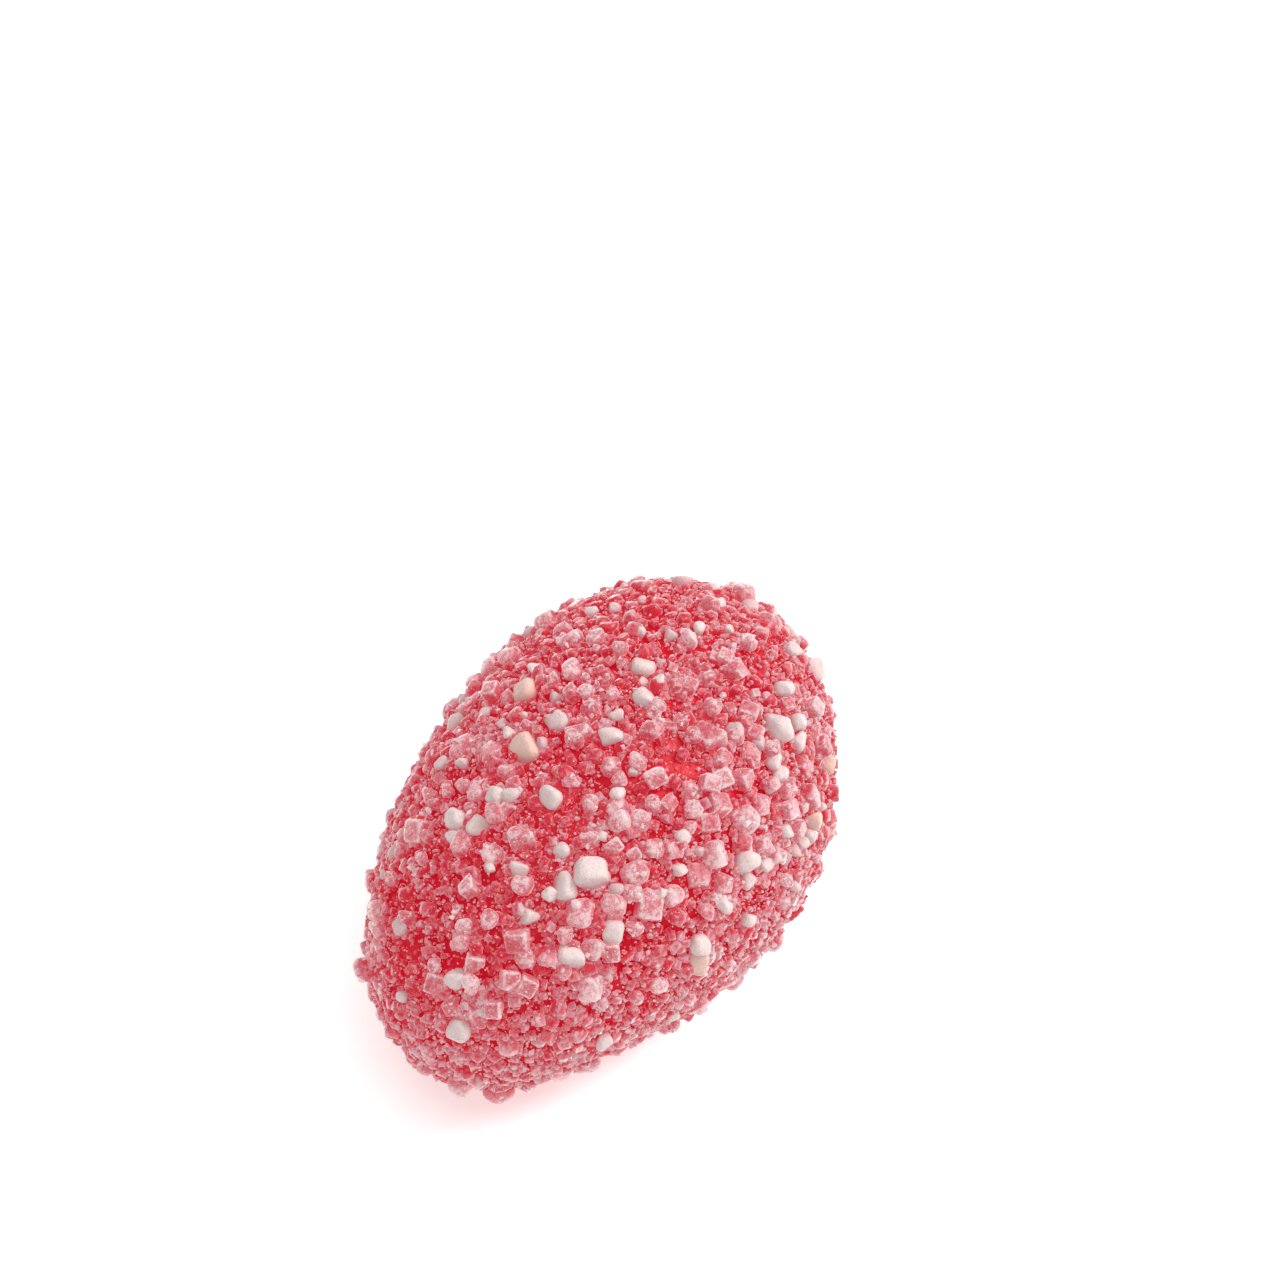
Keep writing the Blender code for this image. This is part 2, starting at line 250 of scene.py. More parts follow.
# Smaller grains that the picture shows plainly: pixels across and down, width in millimetres
SMALL_GRAINS = {
    "clear": (
        (720, 780, 0.8), (654, 780, 0.88), (471, 888, 0.8), (651, 732, 0.85), (722, 661, 0.7),
        (752, 735, 0.72), (729, 748, 0.55), (728, 711, 0.5), (673, 915, 0.7), (638, 580, 0.6),
        (496, 697, 0.8), (480, 687, 0.75), (542, 683, 0.55), (573, 697, 0.7), (688, 690, 0.7),
        (676, 687, 0.6), (742, 725, 0.6), (707, 785, 0.8), (693, 810, 0.6), (733, 815, 0.6),
        (667, 805, 0.7), (613, 848, 0.7), (633, 855, 0.6), (410, 917, 0.55), (453, 1005, 0.65),
        (510, 979, 0.85), (495, 1007, 0.8), (527, 984, 0.8), (610, 950, 0.8), (515, 787, 0.6),
        (817, 747, 0.8), (812, 883, 0.8), (793, 828, 0.7), (783, 707, 0.6), (808, 710, 0.8),
    ),
    "crumb": (
        (780, 692, 0.8), (794, 725, 0.7), (771, 762, 0.72), (777, 775, 0.68), (719, 902, 0.7),
        (745, 918, 0.65), (763, 863, 0.6), (809, 822, 0.78), (823, 863, 0.7), (740, 590, 0.6),
        (775, 608, 0.65), (791, 629, 0.68), (806, 835, 0.6), (616, 718, 0.62), (445, 766, 0.6),
        (465, 765, 0.55), (593, 616, 0.58), (658, 684, 0.58), (537, 673, 0.65), (533, 635, 0.55),
        (698, 632, 0.58), (728, 632, 0.4), (561, 851, 0.68), (601, 837, 0.48), (680, 838, 0.6),
        (617, 795, 0.65), (497, 798, 0.8), (512, 797, 0.7), (458, 978, 0.75), (697, 942, 0.9),
        (695, 959, 0.95), (601, 1037, 0.7), (406, 995, 0.55), (661, 893, 0.5), (493, 693, 0.5),
        (504, 726, 0.42), (525, 718, 0.38), (487, 715, 0.45), (490, 869, 0.5), (800, 842, 0.48),
        (792, 885, 0.55), (642, 602, 0.38), (717, 608, 0.6), (713, 593, 0.6), (788, 653, 0.75),
        (767, 615, 0.65), (550, 895, 0.6),
    ),
    "frosted": (
        (448, 720, 0.7), (497, 815, 0.8), (524, 885, 0.8), (383, 930, 0.8), (463, 943, 0.8),
        (472, 983, 0.8), (490, 920, 0.8), (630, 893, 0.8), (530, 627, 0.75), (509, 648, 0.7),
        (512, 663, 0.8), (493, 672, 0.8), (485, 667, 0.7), (462, 692, 0.6), (548, 627, 0.8),
        (555, 682, 0.6), (587, 696, 0.7), (597, 642, 0.8), (708, 610, 0.75), (687, 643, 0.85),
        (746, 645, 0.8), (620, 652, 0.7), (655, 710, 0.75), (613, 697, 0.65), (710, 710, 0.75),
        (692, 737, 0.7), (680, 723, 0.6), (637, 763, 0.75), (620, 782, 0.65), (590, 805, 0.7),
        (575, 742, 0.8), (559, 773, 0.5), (571, 783, 0.7), (618, 823, 0.8), (653, 805, 0.7),
        (690, 810, 0.75), (687, 828, 0.6), (647, 895, 0.6), (670, 895, 0.8), (703, 910, 0.7),
        (772, 855, 0.8), (765, 785, 0.7), (783, 790, 0.8), (782, 878, 0.6), (767, 750, 0.8),
        (733, 738, 0.75), (466, 787, 0.6), (450, 793, 0.6), (437, 805, 0.5), (432, 797, 0.6),
        (467, 928, 0.7), (437, 965, 0.6), (395, 880, 0.6), (425, 860, 0.5), (563, 971, 0.6),
        (587, 992, 0.75), (538, 1017, 0.6), (655, 982, 0.7), (565, 935, 0.7), (632, 927, 0.7),
        (687, 995, 0.6), (633, 995, 0.6),
    ),
}

# Which grains are peach rather than white
PEACH_GRAINS = ((525, 693), (527, 750), (824, 765), (809, 822), (695, 959))

# Where the picture shows bare jelly: pixels across and down, radius in millimetres
BARE_PATCHES = (
    (652, 606, 1.2), (690, 618, 0.85), (736, 646, 0.85), (716, 701, 0.8), (678, 761, 0.9),
    (748, 779, 0.6), (612, 772, 0.6), (684, 882, 0.65), (658, 922, 0.8), (690, 916, 0.55),
    (488, 950, 0.65), (508, 1026, 0.8), (402, 884, 0.8), (560, 770, 0.6), (657, 932, 0.9),
    (480, 952, 0.5), (543, 1007, 0.5), (632, 948, 0.45), (535, 822, 0.5), (666, 652, 0.6),
    (622, 903, 0.35),
)

# Where the picture shows thick pale sugar: pixels across and down, radius in millimetres. Those along the
# right and lower rim also paint in the rim's paleness, which is light from the bright floor: painted light
PALE_SUGAR_AND_RIM_LIGHT_PATCHES = (
    (795, 720, 2.2), (600, 715, 1.5), (480, 740, 1.1), (790, 850, 2), (470, 1010, 1.8),
    (560, 640, 0.9), (700, 955, 2.2), (780, 900, 2.2), (385, 850, 1.3), (600, 1010, 1.8),
    (760, 600, 1.8), (826, 700, 2), (834, 790, 2), (805, 900, 2.3), (745, 955, 2.3),
    (670, 1005, 2.3), (590, 1045, 2.3), (510, 1068, 2), (430, 1050, 1.6), (372, 960, 1.2),
)


def listed(table):
    """A table's grains one by one: kind, pixels across and down, width in metres."""
    return [
        (kind, across, down, millimetres * 0.001)
        for kind, grains in table.items() for across, down, millimetres in grains
    ]


KNOWN = listed(KNOWN_GRAINS)


def direction(longitude, latitude):
    """Unit vector for an angle round from +X and an angle up from the ground, in degrees."""
    lon, lat = math.radians(longitude), math.radians(latitude)
    return np.array((math.cos(lat) * math.cos(lon), math.cos(lat) * math.sin(lon), math.sin(lat)))


def unit(rows):
    """Each row's vector at length one."""
    return rows / np.linalg.norm(rows, axis=1)[:, None]


def crosses(corners):
    """For triangles as three corners each, the normal of twice the area's length."""
    return np.cross(corners[:, 1] - corners[:, 0], corners[:, 2] - corners[:, 0])


def points_of(shape):
    """A bmesh's points as an array."""
    shape.verts.index_update()
    return np.array([tuple(vert.co) for vert in shape.verts])


def faces_of(shape):
    """A triangulated bmesh's faces as an array of its points' numbers."""
    return np.array([[vert.index for vert in face.verts] for face in shape.faces])


def soft_floor(height, floor, rounding):
    """Keeps a height over a floor, rolling into it smoothly."""
    over = height - floor
    return floor + 0.5 * (over + np.sqrt(over * over + rounding * rounding))


def egg_form(ways):
    """The egg's surface for an array of unit vectors, lying on the ground."""
    along, across, up = ways[:, 0], ways[:, 1], ways[:, 2]
    points = np.stack((
        HALF_LENGTH * along,
        HALF_WIDTH * across * (1.0 - TAPER * along) + BEND * along ** 2,
        HALF_HEIGHT * up * (1.0 - TAPER_HEIGHT * along) + DROOP * along,
    ), axis=1)
    for longitude, latitude, width, depth in DENTS:
        aside = (ways @ direction(longitude, latitude) - 1.0) / (1.0 - math.cos(math.radians(width)))
        points -= depth * np.exp(aside)[:, None] * ways
    floor = -HALF_HEIGHT * REST_DEPTH
    points[:, 2] = soft_floor(points[:, 2], floor, HALF_HEIGHT * REST_ROUNDING)
    points[:, 2] = np.maximum(points[:, 2] - points[:, 2].min() - FLAT_LIFT, 0.0)
    return points + np.array((CENTRE[0], CENTRE[1], 0.0))


def smooth_skin(cuts, inset):
    """The egg's smooth skin as a bmesh, so far under the tops of the fine sugar."""
    skin = bmesh.new()
    bmesh.ops.create_cube(skin, size=2.0)
    bmesh.ops.subdivide_edges(skin, edges=skin.edges, cuts=cuts, use_grid_fill=True)
    bmesh.ops.triangulate(skin, faces=skin.faces)
    ways = np.array([tuple(vert.co.normalized()) for vert in skin.verts])
    for vert, place in zip(skin.verts, egg_form(ways)):
        vert.co = place
    skin.normal_update()
    inward = [vert.normal * inset for vert in skin.verts]
    for vert, step in zip(skin.verts, inward):
        if vert.co.z > 0.0:
            vert.co -= Vector((step.x, step.y, max(step.z, 0.0)))
    skin.normal_update()
    return skin


def view_axes():
    """Right, up and back of the camera."""
    right = Vector((math.cos(VIEW_AZIMUTH), math.sin(VIEW_AZIMUTH), 0.0))
    back = Vector((
        math.sin(VIEW_AZIMUTH) * math.cos(VIEW_PITCH),
        -math.cos(VIEW_AZIMUTH) * math.cos(VIEW_PITCH),
        math.sin(VIEW_PITCH),
    ))
    return right, back.cross(right), back


def view_aim():
    """What the camera looks at."""
    return Vector(VIEW_AIM) + Vector((CENTRE[0], CENTRE[1], 0.0))


def seen_place(skin, across, down):
    """The point and normal of the skin under a pixel of the picture."""
    right, up, back = view_axes()
    focal = VIEW_SIZE * VIEW_LENS / VIEW_SENSOR
    slope_right = (across - 0.5 * VIEW_SIZE) / focal
    slope_up = (0.5 * VIEW_SIZE - down) / focal
    way = right * slope_right + up * slope_up - back
    place, normal, _, _ = skin.ray_cast(view_aim() + back * VIEW_DISTANCE, way)
    return place, normal


def core_tree():
    """The solid's smooth core, to find places on."""
    core = smooth_skin(CORE_CUTS, CRUST_INSET)
    tree = BVHTree.FromBMesh(core)
    core.free()
    return tree


def random_place(core, skin_areas, draw):
    """A point and normal on the skin, every part of it being as likely as any other."""
    face = core.faces[draw.choices(range(len(skin_areas)), cum_weights=skin_areas)[0]]
    first, second = sorted((draw.random(), draw.random()))
    corners = [vert.co for vert in face.verts]
    place = corners[0] * first + corners[1] * (second - first) + corners[2] * (1.0 - second)
    return place, face.normal.copy()


def spread_grains():
    """Every large grain as kind, place, normal and width, by the solid's own rule."""
    draw = random.Random(SEED)
    core = smooth_skin(CORE_CUTS, CRUST_INSET)
    skin = BVHTree.FromBMesh(core)
    core.faces.ensure_lookup_table()
    _, _, back = view_axes()
    grains = []
    for kind, across, down, width in KNOWN:
        place, normal = seen_place(skin, across, down)
        if place is not None:
            grains.append((kind, place, normal, width))
    areas = list(np.cumsum([face.calc_area() for face in core.faces]))
    wanted = len(grains) + LOOSE_GRAINS
    while len(grains) < wanted:
        place, normal = random_place(core, areas, draw)
        kind = "lump" if draw.random() < LUMP_SHARE else "cube"
        width = draw.uniform(*(LUMP_WIDTH if kind == "lump" else CUBE_WIDTH))
        clear = all(
            (place - other).length > 0.5 * (width + size) + GRAIN_GAP for _, other, _, size in grains)
        if clear and place.z > BARE_HEIGHT and normal.dot(back) < LOOSE_FACING:
            grains.append((kind, place, normal, width))
    core.free()
    return grains


def grain_stance(number, grain):
    """How one grain's sides differ, and the matrix that stands it in the skin."""
    _, place, normal, width = grain
    draw = random.Random(SEED + number)
    stretch = Vector([draw.uniform(*GRAIN_STRETCH) for _ in range(3)])
    lean = Euler((
        draw.uniform(-GRAIN_LEAN, GRAIN_LEAN),
        draw.uniform(-GRAIN_LEAN, GRAIN_LEAN),
        draw.uniform(-math.pi, math.pi),
    ))
    middle = place + normal * draw.uniform(*GRAIN_RISE) * width
    upright = normal.to_track_quat("Z", "Y")
    return stretch, Matrix.Translation(middle) @ upright.to_matrix().to_4x4() @ lean.to_matrix().to_4x4()


class Skin:
    """The smooth skin as arrays, to draw even random places from."""

    def __init__(self, cuts, inset):
        skin = smooth_skin(cuts, inset)
        self.verts, self.faces = points_of(skin), faces_of(skin)
        self.normals = np.array([tuple(vert.normal) for vert in skin.verts])
        skin.free()
        area = np.linalg.norm(crosses(self.verts[self.faces]), axis=1)
        self.reach = np.cumsum(area) / area.sum()

    def places(self, count, rng, height=-1.0):
        """Random points and normals above a height, each part of the skin being as likely as another."""
        face = self.faces[np.searchsorted(self.reach, rng.random(count))]
        share = rng.dirichlet((1.0, 1.0, 1.0), count)
        place = (self.verts[face] * share[:, :, None]).sum(axis=1)
        normal = unit((self.normals[face] * share[:, :, None]).sum(axis=1))
        high = place[:, 2] > height
        return place[high], normal[high]


def apart(place, normal, gap, most):
    """The first places and normals that are at least a gap from every kept one, up to a number."""
    cell = np.floor(place / gap).astype(int)
    kept, taken = [], {}
    for index, here in enumerate(map(tuple, cell)):
        near = (
            taken[(here[0] + i, here[1] + j, here[2] + k)]
            for i in (-1, 0, 1) for j in (-1, 0, 1) for k in (-1, 0, 1)
            if (here[0] + i, here[1] + j, here[2] + k) in taken
        )
        if all(np.dot(place[index] - place[other], place[index] - place[other]) > gap * gap
               for others in near for other in others):
            taken.setdefault(here, []).append(index)
            kept.append(index)
    return place[kept[:most]], normal[kept[:most]]


def as_arrays(shape, draw, edge=None):
    """A small bmesh as points, triangles, each facet's own shade and each point's edge, then freed."""
    facet = shape.faces.layers.float.new("facet")
    for face in shape.faces:
        face[facet] = draw.random()
    bmesh.ops.triangulate(shape, faces=shape.faces)
    verts, faces = points_of(shape), faces_of(shape)
    shades = np.array([face[facet] for face in shape.faces])
    shape.free()
    return verts, faces, shades, np.ones(len(verts)) * 0.5 if edge is None else edge


def rumples(points, draw, waves):
    """A sum of waves at each point, each wave given as how often it comes in a unit and how high it is."""
    shift = Vector((draw.uniform(0, 50), draw.uniform(0, 50), draw.uniform(0, 50)))
    return np.array([
        sum(height * noise.noise(Vector(point) * often + shift) for often, height in waves)
        for point in points
    ])


def reshaped(shape, points):
    """Moves a small bmesh's vertices to new points."""
    for vert, point in zip(shape.verts, points):
        vert.co = point


def chip(draw, corners):
    """A broken crystal one unit wide: the hull of an uneven block of points."""
    shape = bmesh.new()
    for _ in range(corners):
        point = Vector([draw.gauss(0.0, 1.0) for _ in range(3)]).normalized()
        blocky = max(abs(value) for value in point)
        shape.verts.new(point * 0.5 * (0.5 + 0.5 / blocky) * draw.uniform(0.85, 1.0))
    hull = bmesh.ops.convex_hull(shape, input=shape.verts)
    inside = [item for item in hull["geom_interior"] if isinstance(item, bmesh.types.BMVert)]
    bmesh.ops.delete(shape, geom=inside, context="VERTS")
    edge = np.array([draw.random() for _ in shape.verts])
    return as_arrays(shape, draw, edge)


def worn_cube(draw, cuts, roundness, chips, wear):
    """A clear crystal one unit wide: a cube with worn edges, some chips and a wavy face."""
    shape = bmesh.new()
    bmesh.ops.create_cube(shape, size=2.0)
    bmesh.ops.subdivide_edges(shape, edges=shape.edges, cuts=cuts, use_grid_fill=True)
    points = points_of(shape)
    second = np.sort(np.abs(points), axis=1)[:, 1]
    # edge whitens these rims in the sugar's colour: partly frost from wear, partly painted highlight
    edge = np.clip((second - 0.55) / 0.4, 0.0, 1.0) ** 1.5
    points /= ((np.abs(points) ** roundness).sum(axis=1) ** (1.0 / roundness))[:, None]
    for _ in range(chips):
        towards = np.array([draw.choice((-1.0, 1.0)) * draw.uniform(0.35, 1.0) for _ in range(3)])
        towards /= np.linalg.norm(towards)
        over = points @ towards - draw.uniform(0.80, 1.02)
        rim = np.clip(1.0 - np.abs(over) / 0.15, 0.0, 1.0) * 0.8
        edge = np.maximum(edge * (over < 0.05), rim)
        points -= np.clip(over, 0.0, None)[:, None] * towards
    points *= 0.5 * (1.0 + wear * rumples(points, draw, CUBE_WAVES))[:, None]
    reshaped(shape, points)
    return as_arrays(shape, draw, edge * np.array([draw.uniform(0.25, 1.0) for _ in edge]))


def worn_cubes(draw, number, cuts, roundness, chips, wear):
    """Some worn cubes, each with its own roundness and chips."""
    return [
        worn_cube(draw, cuts, draw.uniform(*roundness), draw.choice(chips), wear) for _ in range(number)
    ]


def crumb(draw, divisions):
    """An opaque crumb one unit wide: a worn lump with soft flats and knobs."""
    shape = bmesh.new()
    bmesh.ops.create_icosphere(shape, subdivisions=divisions, radius=1.0)
    points = points_of(shape)
    points /= ((np.abs(points) ** 3.0).sum(axis=1) ** (1.0 / 3.0))[:, None]
    for _ in range(draw.choice((5, 6, 7))):
        towards = np.array([draw.gauss(0.0, 1.0) for _ in range(3)])
        towards /= np.linalg.norm(towards)
        over = points @ towards - draw.uniform(0.62, 0.86)
        points -= 0.85 * np.clip(over, 0.0, None)[:, None] * towards
    knobs = rumples(points, draw, CRUMB_KNOBS)
    points *= 0.56 * (1.0 + knobs)[:, None]
    reshaped(shape, points)
    return as_arrays(shape, draw, np.clip(0.5 + 4.0 * knobs, 0.0, 1.0))


def speck(draw):
    """A speck of sugar dust one unit wide."""
    shape = bmesh.new()
    for point in ((1, 0, 0), (-1, 0, 0), (0, 1, 0), (0, -1, 0), (0, 0, 1), (0, 0, -1)):
        shape.verts.new(Vector(point) * 0.5 * draw.uniform(0.75, 1.15))
    bmesh.ops.convex_hull(shape, input=shape.verts)
    return as_arrays(shape, draw)


def standing(normal, spin, lean, lean_way):
    """Rotation matrices that stand things on normals, spun and leaning."""
    upright = np.abs(normal[:, 2:3]) < 0.9
    helper = np.where(upright, np.array((0.0, 0.0, 1.0)), np.array((1.0, 0.0, 0.0)))
    side = unit(np.cross(helper, normal))
    front = np.cross(normal, side)
    tilt_axis = side * np.cos(lean_way)[:, None] + front * np.sin(lean_way)[:, None]
    up = normal * np.cos(lean)[:, None] + np.cross(tilt_axis, normal) * np.sin(lean)[:, None]
    one = side * np.cos(spin)[:, None] + front * np.sin(spin)[:, None]
    one = unit(one - up * (one * up).sum(axis=1)[:, None])
    return np.stack((one, np.cross(up, one), up), axis=2)


def tossed(normal, lean, rng):
    """Rotation matrices that stand things on normals, spun anyhow and leaning up to so many radians."""
    number = len(normal)
    spin = rng.uniform(0, SPIN, number)
    lean = rng.uniform(0, lean, number)
    return standing(normal, spin, lean, rng.uniform(0, SPIN, number))


def in_scene(name, data):
    """A new object in the scene, with the given data."""
    made = bpy.data.objects.new(name, data)
    bpy.context.scene.collection.objects.link(made)
    return made


class Heap:
    """Many small things of one kind, gathered to be made into one mesh."""

    def __init__(self):
        self.verts, self.faces = [], []
        self.facet, self.tint, self.edge, self.height = [], [], [], []
        self.total = 0

    def add(self, template, turn, size, middle, normal, foot, tint):
        """Adds copies of one shape. Size is three sides for each copy, foot its place on the skin."""
        verts, faces, facet, edge = template
        placed = np.einsum("nij,nvj->nvi", turn, verts[None] * size[:, None, :]) + middle[:, None, :]
        placed[:, :, 2] += np.maximum(0.0, -placed[:, :, 2].min(axis=1))[:, None]
        count, corners = placed.shape[:2]
        start = self.total + np.arange(count) * corners
        self.verts.append(placed.reshape(-1, 3))
        self.faces.append((faces[None] + start[:, None, None]).reshape(-1, 3))
        self.facet.append(np.tile(facet, count))
        self.tint.append(np.repeat(tint, len(faces)))
        self.edge.append(np.tile(edge, count))
        height = ((placed - foot[:, None, :]) * normal[:, None, :]).sum(axis=2)
        self.height.append(height.reshape(-1))
        self.total += count * corners

    def spread(self, templates, rng, turn, size, middle, normal, foot, tint):
        """Adds many things, each with a shape drawn from the templates."""
        choice = rng.integers(len(templates), size=len(middle))
        for index, template in enumerate(templates):
            own = choice == index
            if own.any():
                self.add(template, turn[own], size[own], middle[own], normal[own], foot[own], tint[own])

    def arrays(self):
        """Every point and every triangle."""
        return np.concatenate(self.verts), np.concatenate(self.faces)

    def make(self, name, material, smooth):
        """One mesh object that keeps each facet's shade and tint, and each point's edge and height."""
        verts, faces = self.arrays()
        data = bpy.data.meshes.new(name)
        data.vertices.add(len(verts))
        data.vertices.foreach_set("co", verts.astype(np.float32).ravel())
        data.loops.add(faces.size)
        data.loops.foreach_set("vertex_index", faces.astype(np.int32).ravel())
        data.polygons.add(len(faces))
        data.polygons.foreach_set("loop_start", np.arange(0, faces.size, 3, dtype=np.int32))
        data.polygons.foreach_set("use_smooth", np.full(len(faces), smooth))
        for label, domain, values in (
            ("facet", "FACE", self.facet), ("tint", "FACE", self.tint),
            ("edge", "POINT", self.edge), ("height", "POINT", self.height),
        ):
            layer = data.attributes.new(label, "FLOAT", domain)
            layer.data.foreach_set("value", np.concatenate(values).astype(np.float32))
        data.update()
        data.validate()
        data.materials.append(material)
        return in_scene(name, data)


def link(tree, source, target):
    """Joins an output to an input."""
    tree.links.new(source, target)


def feed(tree, given, socket):
    """Gives a socket a value, or links another socket to it."""
    if isinstance(given, bpy.types.NodeSocket):
        link(tree, given, socket)
    else:
        socket.default_value = given


def add_node(tree, kind, values=(), **settings):
    """A shader node with its settings and the values of its unlinked inputs."""
    made = tree.nodes.new(kind)
    for name, value in settings.items():
        setattr(made, name, value)
    for name, value in dict(values).items():
        made.inputs[name].default_value = value
    return made


def colour_mix(tree, factor, first, second, blend="MIX"):
    """A colour between two, each a value or a socket, by a factor socket or value."""
    mix = add_node(tree, "ShaderNodeMix", data_type="RGBA", blend_type=blend)
    for number, given in ((0, factor), (6, first), (7, second)):
        feed(tree, given, mix.inputs[number])
    return mix.outputs[2]


def maths(tree, operation, *numbers, clamp=False):
    """One sum of some numbers, each a value or a socket."""
    made = add_node(tree, "ShaderNodeMath", operation=operation, use_clamp=clamp)
    for socket, given in zip(made.inputs, numbers):
        feed(tree, given, socket)
    return made.outputs[0]


def stretched(tree, value, low, high, to_low=0.0, to_high=1.0):
    """A number's range stretched to another, clamped and eased."""
    made = add_node(tree, "ShaderNodeMapRange", interpolation_type="SMOOTHSTEP", clamp=True)
    link(tree, value, made.inputs["Value"])
    for number, given in enumerate((low, high, to_low, to_high), 1):
        made.inputs[number].default_value = given
    return made.outputs["Result"]


def cloud(tree, size, detail=2.0, roughness=0.5):
    """Noise whose clouds are so many metres wide."""
    values = {"Scale": 1.0 / size, "Detail": detail, "Roughness": roughness}
    made = add_node(tree, "ShaderNodeTexNoise", values)
    place = tree.nodes.get("Texture Coordinate") or tree.nodes.new("ShaderNodeTexCoord")
    link(tree, place.outputs["Object"], made.inputs["Vector"])
    return made.outputs["Fac"]


def kept_value(tree, name):
    """A value that a heap keeps at its facets or points."""
    return add_node(tree, "ShaderNodeAttribute", attribute_name=name).outputs["Fac"]


def shader_group(name, given, results):
    """A group whose inputs have the given values, and results of some kinds, with its two ends."""
    group = bpy.data.node_groups.new(name, "ShaderNodeTree")
    for label, value in given.items():
        kind = "NodeSocketFloat" if isinstance(value, float) else "NodeSocketColor"
        socket = group.interface.new_socket(name=label, in_out="INPUT", socket_type=kind)
        socket.default_value = value
    for label, kind in results.items():
        group.interface.new_socket(name=label, in_out="OUTPUT", socket_type=kind)
    return group, group.nodes.new("NodeGroupInput"), group.nodes.new("NodeGroupOutput")


def sugar_frost_group():
    """How sugar looks over jelly: redder where low and clear, whiter on edges and where frosted. The
    whiter edges are partly frost from wear and partly painted highlight where light catches the crystals'
    rims.
    """
    group, given, result = shader_group(
        "sugar frost",
        {
            "Facet": 0.5, "Tint": 0.5, "Edge": 0.0, "Height": 0.0, "Reach": 0.0004, "Frost": 0.0,
            "Deep": DEEP_SUGAR, "Middle": MIDDLE_SUGAR, "Pale": PALE_SUGAR,
        },
        {"Color": "NodeSocketColor", "Roughness": "NodeSocketFloat", "Relief": "NodeSocketFloat"},
    )
    fleck = cloud(group, 0.00022, 3.0, 0.6)
    patch = cloud(group, 0.0021, 2.0)
    frosting = cloud(group, 0.00007, 2.0, 0.6)
    risen = maths(group, "DIVIDE", given.outputs["Height"], given.outputs["Reach"], clamp=True)
    white = maths(group, "MULTIPLY_ADD", risen, 0.60, -0.08)
    whitened = [stretched(group, frosting, 0.34, 0.70, -0.12, 0.18)]
    # Edge whitens the rims: partly frost from wear, partly painted highlight
    for name, middle, weight in (("Facet", 0.5, 0.10), ("Tint", 0.5, 0.50), ("Edge", 0.30, 0.60)):
        away = maths(group, "SUBTRACT", given.outputs[name], middle)
        whitened.append(maths(group, "MULTIPLY", away, weight))
    whitened.append(stretched(group, fleck, 0.35, 0.68, -0.12, 0.12))
    whitened.append(stretched(group, patch, 0.3, 0.7, -0.10, 0.10))
    for share in whitened:
        white = maths(group, "ADD", white, share)
    white = maths(group, "ADD", white, given.outputs["Frost"], clamp=True)
    lower, upper = stretched(group, white, 0.0, 0.5), stretched(group, white, 0.4, 1.0)
    half = colour_mix(group, lower, given.outputs["Deep"], given.outputs["Middle"])
    full = colour_mix(group, upper, half, given.outputs["Pale"])
    link(group, full, result.inputs["Color"])
    link(group, stretched(group, fleck, 0.3, 0.7, 0.22, 0.5), result.inputs["Roughness"])
    link(group, fleck, result.inputs["Relief"])
    return group


def inner_light_group():
    """Light that wanders inside: a part of a colour is lit, a part glows, with some red of the jelly."""
    group, given, result = shader_group(
        "inner light", {"Color": (0.5, 0.5, 0.5, 1.0), "Share": 0.4, "Red": BLACK},
        {"Base": "NodeSocketColor", "Glow": "NodeSocketColor"},
    )
    base = colour_mix(group, given.outputs["Share"], given.outputs["Color"], BLACK)
    held = colour_mix(group, given.outputs["Share"], BLACK, given.outputs["Color"])
    glow = colour_mix(group, 1.0, held, given.outputs["Red"], "ADD")
    link(group, base, result.inputs["Base"])
    link(group, glow, result.inputs["Glow"])
    return group


def light_inside(tree, shader, colour, share, red):
    """Feeds a colour to the shader, partly as its own soft glow."""
    group = add_node(tree, "ShaderNodeGroup")
    group.node_tree = bpy.data.node_groups["inner light"]
    group.inputs["Share"].default_value = share
    group.inputs["Red"].default_value = red
    link(tree, colour, group.inputs["Color"])
    link(tree, group.outputs["Base"], shader.inputs["Base Color"])
    link(tree, group.outputs["Glow"], shader.inputs["Emission Color"])
    shader.inputs["Emission Strength"].default_value = 1.0


def plain_material(name, values):
    """A material whose Principled shader has the given constant values, with its tree and shader."""
    material = bpy.data.materials.new(name)
    material.use_nodes = True
    material.cycles.emission_sampling = "NONE"
    tree = material.node_tree
    shader = tree.nodes["Principled BSDF"]
    for socket, value in values.items():
        shader.inputs[socket].default_value = value
    return material, tree, shader


def bumped(tree, shader, height, strength, distance):
    """Fine relief in the shading."""
    bump = add_node(tree, "ShaderNodeBump", {"Strength": strength, "Distance": distance})
    link(tree, height, bump.inputs["Height"])
    link(tree, bump.outputs["Normal"], shader.inputs["Normal"])


def sugar_material(name, frost_group, frost, reach, glow, pale):
    """Crystals that take the red of the jelly under them."""
    material, tree, shader = plain_material(name, {
        "Transmission Weight": 0.06,
        "IOR": 1.5,
        "Specular IOR Level": 0.25,
        "Sheen Weight": 0.9,
        "Sheen Roughness": 0.4,
    })
    group = add_node(tree, "ShaderNodeGroup")
    group.node_tree = frost_group
    for label in ("facet", "tint", "edge", "height"):
        link(tree, kept_value(tree, label), group.inputs[label.capitalize()])
    for label, value in (
        ("Deep", DEEP_SUGAR), ("Middle", MIDDLE_SUGAR), ("Pale", pale), ("Frost", frost), ("Reach", reach),
    ):
        group.inputs[label].default_value = value
    red = [value * glow for value in INNER_GLOW]
    light_inside(tree, shader, group.outputs["Color"], SUGAR_LIGHT, red)
    link(tree, group.outputs["Roughness"], shader.inputs["Roughness"])
    bumped(tree, shader, group.outputs["Relief"], 0.4, 0.00003)
    return material


